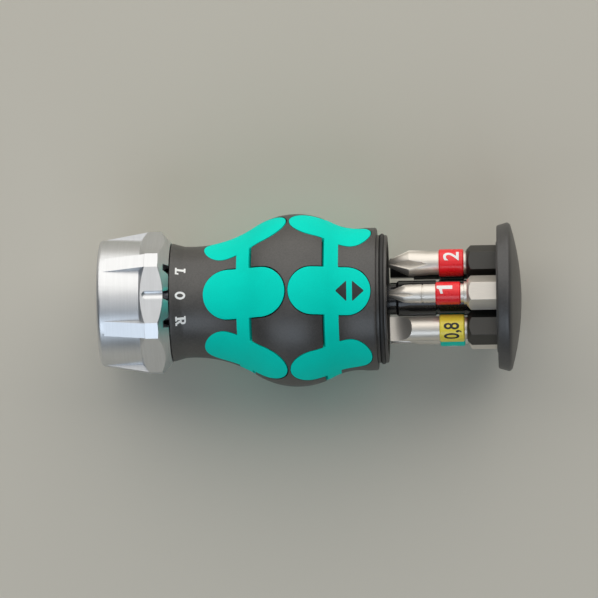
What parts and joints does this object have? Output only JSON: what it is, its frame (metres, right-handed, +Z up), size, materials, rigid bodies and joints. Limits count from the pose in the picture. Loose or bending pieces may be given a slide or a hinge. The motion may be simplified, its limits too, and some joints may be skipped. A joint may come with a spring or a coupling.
{
  "type": "ratcheting screwdriver",
  "caption": "Stubby ratcheting screwdriver with a direction selector ring, soft grip bands and a pull-out bit magazine in the handle.",
  "frame": {"origin": "centre of the bit socket's mouth, in the plane of the nose", "axes": "+X along the tool from the nose to the magazine's cap, +Z up through the selector's mark"},
  "size_m": [0.0895, 0.0366, 0.0366],
  "materials": {
    "ring_metal": "satin nickel plating",
    "handle_black": "fine spark-eroded matt texture",
    "grip_green": "soft matt moulded grip",
    "cap_black": "matt moulded",
    "mechanism_steel": "ground steel",
    "spring_steel": "blued spring steel",
    "bearing_bronze": "turned bronze",
    "magnet_plate": "bright nickel plating",
    "seal_rubber": "smooth black rubber",
    "bit_steel": "satin nickel plating",
    "bit_dark_steel": "satin plating with a burnished shank",
    "sleeve_red": "smooth coloured sleeve",
    "sleeve_yellow": "smooth coloured sleeve",
    "sleeve_green": "smooth coloured sleeve",
    "sleeve_black": "smooth coloured sleeve",
    "bit_black_steel": "black oxide",
    "post_black": "smooth glossy black"
  },
  "bodies": {
    "handle": {"handle_shell": "handle_black", "front_grip_band": "grip_green", "rear_grip_band": "grip_green", "ratchet_housing": "mechanism_steel", "front_plate": "mechanism_steel", "thrust_washer": "bearing_bronze", "ring_retainer": "spring_steel", "detent_spring": "spring_steel", "pawl_pins": "mechanism_steel", "pawl_spring": "spring_steel", "guide_pin": "mechanism_steel", "spigot_o_ring": "seal_rubber"},
    "selector": {"selector_ring": "ring_metal"},
    "spindle": {"spindle": "mechanism_steel", "ratchet_gear": "mechanism_steel", "spindle_circlip": "spring_steel", "socket_magnet": "magnet_plate"},
    "left_pawl": {"left_pawl": "mechanism_steel"},
    "right_pawl": {"right_pawl": "mechanism_steel"},
    "magazine": {"end_cap": "cap_black", "bit_retainer": "cap_black", "magazine_post": "post_black"},
    "large_cross": {"cross_bit_large": "bit_dark_steel", "cross_bit_large_sleeve": "sleeve_red"},
    "small_cross": {"cross_bit_small": "bit_steel", "cross_bit_small_sleeve": "sleeve_red"},
    "slotted": {"slotted_bit": "bit_dark_steel", "slotted_bit_sleeve": "sleeve_yellow"},
    "large_star": {"star_bit_large": "bit_steel", "star_bit_large_sleeve": "sleeve_green"},
    "small_star": {"star_bit_small": "bit_steel", "star_bit_small_sleeve": "sleeve_green"},
    "hexagon": {"hex_bit": "bit_black_steel", "hex_bit_sleeve": "sleeve_black"}
  },
  "joints": [
    {"name": "selector_turn", "type": "hinge", "parent": "handle", "child": "selector", "pos_m": [0.0076, 0, 0], "axis": [1, 0, 0], "range_deg": [-26, 26], "deforming": ["detent_spring", "pawl_spring"]},
    {"name": "spindle_spin", "type": "hinge", "parent": "handle", "child": "spindle", "pos_m": [0.006, 0, 0], "axis": [1, 0, 0], "continuous": true},
    {"name": "left_pawl_swing", "type": "hinge", "parent": "handle", "child": "left_pawl", "pos_m": [0.0058, 0.00885, 0.00287], "axis": [1, 0, 0], "range_deg": [-4.61, 4.61], "deforming": ["pawl_spring"]},
    {"name": "right_pawl_swing", "type": "hinge", "parent": "handle", "child": "right_pawl", "pos_m": [0.0058, -0.00885, 0.00287], "axis": [1, 0, 0], "range_deg": [-4.61, 4.61], "deforming": ["pawl_spring"]},
    {"name": "magazine_slide", "type": "slide", "parent": "handle", "child": "magazine", "axis": [1, 0, 0], "range_m": [-0.0253, 0]},
    {"name": "large_cross_bit_pull", "type": "slide", "parent": "magazine", "child": "large_cross", "axis": [-1, 0, 0], "range_m": [0, 0.003]},
    {"name": "small_cross_bit_pull", "type": "slide", "parent": "magazine", "child": "small_cross", "axis": [-1, 0, 0], "range_m": [0, 0.003]},
    {"name": "slotted_bit_pull", "type": "slide", "parent": "magazine", "child": "slotted", "axis": [-1, 0, 0], "range_m": [0, 0.003]},
    {"name": "large_star_bit_pull", "type": "slide", "parent": "magazine", "child": "large_star", "axis": [-1, 0, 0], "range_m": [0, 0.003]},
    {"name": "small_star_bit_pull", "type": "slide", "parent": "magazine", "child": "small_star", "axis": [-1, 0, 0], "range_m": [0, 0.003]},
    {"name": "hexagon_bit_pull", "type": "slide", "parent": "magazine", "child": "hexagon", "axis": [-1, 0, 0], "range_m": [0, 0.003]}
  ],
  "couplings": [
    {"joint": "left_pawl_swing", "follows": "selector_turn", "ratio": -0.177},
    {"joint": "right_pawl_swing", "follows": "selector_turn", "ratio": -0.177}
  ]
}
